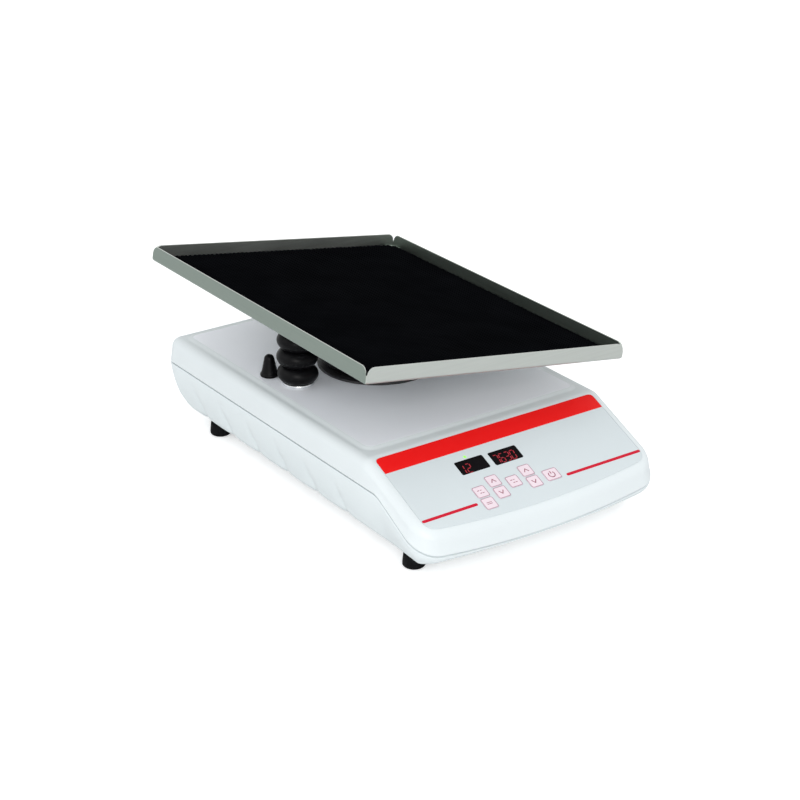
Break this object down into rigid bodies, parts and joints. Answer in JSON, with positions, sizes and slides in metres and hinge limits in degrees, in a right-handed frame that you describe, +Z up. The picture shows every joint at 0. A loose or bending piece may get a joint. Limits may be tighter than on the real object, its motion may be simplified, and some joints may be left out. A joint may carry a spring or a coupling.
{
  "type": "rocking platform shaker",
  "caption": "Bench rocking shaker: a moulded housing with a sloping keypad, and a lipped steel tray that rocks on a geared crank linkage.",
  "frame": {"origin": "on the bench, straight below the middle of the rocking axle", "axes": "+X to the right of the control panel, +Y to the rear along the rocking axle, +Z up"},
  "size_m": [0.2782, 0.4343, 0.1758],
  "materials": {
    "pan_plastic": "moulded, fine matt grain",
    "cover_plastic": "moulded, smooth satin",
    "overlay_film": "printed polyester film",
    "key_film": "printed polyester film, embossed",
    "dark_lens": "tinted window",
    "display_plastic": "black display body",
    "led_green": "green indicator",
    "board_laminate": "glass laminate with green mask",
    "switch_plastic": "black moulding",
    "black_rubber": "moulded black rubber",
    "mat_rubber": "finely ribbed non-slip rubber",
    "tray_steel": "brushed stainless sheet",
    "zinc_steel": "bright zinc plate",
    "shaft_steel": "ground steel",
    "spring_steel": "black oxide",
    "chassis_steel": "zinc-plated sheet",
    "cast_aluminium": "machined",
    "gear_case": "turned case",
    "motor_case": "black lacquer",
    "bronze": "sintered bronze",
    "transformer_body": "taped winding",
    "capacitor_sleeve": "shrink sleeve",
    "inlet_plastic": "black glass-filled moulding",
    "collar_metal": "turned collar"
  },
  "bodies": {
    "base": {"bottom_pan": "pan_plastic", "top_cover": "cover_plastic", "rubber_feet": "black_rubber", "foot_screws": "zinc_steel", "cover_screws": "zinc_steel", "panel_overlay": "overlay_film", "display_lenses": "dark_lens", "speed_display": "display_plastic", "timer_display": "display_plastic", "status_led": "led_green", "control_board": "board_laminate", "key_switches": "switch_plastic", "board_standoffs": "zinc_steel", "board_screws": "zinc_steel", "chassis_plate": "chassis_steel", "chassis_screws": "zinc_steel", "pedestal": "cast_aluminium", "axle_bushes": "bronze", "rocker_bushes": "bronze", "motor_bracket": "chassis_steel", "gearbox": "gear_case", "stepper_motor": "motor_case", "motor_screws": "zinc_steel", "power_board": "board_laminate", "board_pillars": "zinc_steel", "power_transformer": "transformer_body", "filter_capacitors": "capacitor_sleeve", "power_inlet": "inlet_plastic", "inlet_screws": "zinc_steel", "boot_clamp_ring": "switch_plastic", "central_boot": "black_rubber", "bellows_collar": "collar_metal", "drive_bellows": "black_rubber", "bump_stops": "black_rubber"},
    "tray": {"tray": "tray_steel", "tray_mat": "mat_rubber", "tray_carrier": "cast_aluminium", "tray_screws": "zinc_steel", "axle": "shaft_steel", "axle_clips": "spring_steel", "drive_clevis": "cast_aluminium", "clevis_pin": "shaft_steel"},
    "rocker": {"rocker_arm": "cast_aluminium", "sector_gear": "shaft_steel", "rocker_shaft": "shaft_steel", "rocker_clips": "spring_steel", "crank_pin": "shaft_steel"},
    "link": {"link_rod": "cast_aluminium"},
    "pinion": {"drive_pinion": "bronze", "motor_shaft": "shaft_steel"},
    "key_speed_run": {"key_speed_run": "key_film"},
    "key_mode": {"key_mode": "key_film"},
    "key_speed_up": {"key_speed_up": "key_film"},
    "key_speed_down": {"key_speed_down": "key_film"},
    "key_time_run": {"key_time_run": "key_film"},
    "key_time_up": {"key_time_up": "key_film"},
    "key_time_down": {"key_time_down": "key_film"},
    "key_power": {"key_power": "key_film"}
  },
  "joints": [
    {"name": "tray_rock", "type": "hinge", "parent": "base", "child": "tray", "pos_m": [0, 0, 0.1184], "axis": [0, 1, 0], "range_deg": [-24.2, 5.8], "deforming": ["central_boot", "drive_bellows"]},
    {"name": "rocker_rock", "type": "hinge", "parent": "base", "child": "rocker", "pos_m": [0, 0, 0.053], "axis": [0, 1, 0], "range_deg": [-24.2, 5.8]},
    {"name": "link_swing", "type": "hinge", "parent": "rocker", "child": "link", "pos_m": [-0.08687, 0, 0.06707], "axis": [0, 1, 0], "range_deg": [-5.8, 24.2]},
    {"name": "pinion_spin", "type": "hinge", "parent": "base", "child": "pinion", "pos_m": [0.054, 0, 0.053], "axis": [0, 1, 0], "range_deg": [-17.4, 72.6]},
    {"name": "key_speed_run_press", "type": "slide", "parent": "base", "child": "key_speed_run", "axis": [0, 0.3987, -0.9171], "range_m": [0, 0.0004], "stiffness_N_per_m": 1500, "springref_m": -0.0005},
    {"name": "key_mode_press", "type": "slide", "parent": "base", "child": "key_mode", "axis": [0, 0.3987, -0.9171], "range_m": [0, 0.0004], "stiffness_N_per_m": 1500, "springref_m": -0.0005},
    {"name": "key_speed_up_press", "type": "slide", "parent": "base", "child": "key_speed_up", "axis": [0, 0.3987, -0.9171], "range_m": [0, 0.0004], "stiffness_N_per_m": 1500, "springref_m": -0.0005},
    {"name": "key_speed_down_press", "type": "slide", "parent": "base", "child": "key_speed_down", "axis": [0, 0.3987, -0.9171], "range_m": [0, 0.0004], "stiffness_N_per_m": 1500, "springref_m": -0.0005},
    {"name": "key_time_run_press", "type": "slide", "parent": "base", "child": "key_time_run", "axis": [0, 0.3987, -0.9171], "range_m": [0, 0.0004], "stiffness_N_per_m": 1500, "springref_m": -0.0005},
    {"name": "key_time_up_press", "type": "slide", "parent": "base", "child": "key_time_up", "axis": [0, 0.3987, -0.9171], "range_m": [0, 0.0004], "stiffness_N_per_m": 1500, "springref_m": -0.0005},
    {"name": "key_time_down_press", "type": "slide", "parent": "base", "child": "key_time_down", "axis": [0, 0.3987, -0.9171], "range_m": [0, 0.0004], "stiffness_N_per_m": 1500, "springref_m": -0.0005},
    {"name": "key_power_press", "type": "slide", "parent": "base", "child": "key_power", "axis": [0, 0.3987, -0.9171], "range_m": [0, 0.0004], "stiffness_N_per_m": 1500, "springref_m": -0.0005}
  ],
  "couplings": [
    {"joint": "rocker_rock", "follows": "tray_rock", "ratio": 1},
    {"joint": "link_swing", "follows": "tray_rock", "ratio": -1},
    {"joint": "pinion_spin", "follows": "tray_rock", "ratio": -3}
  ]
}
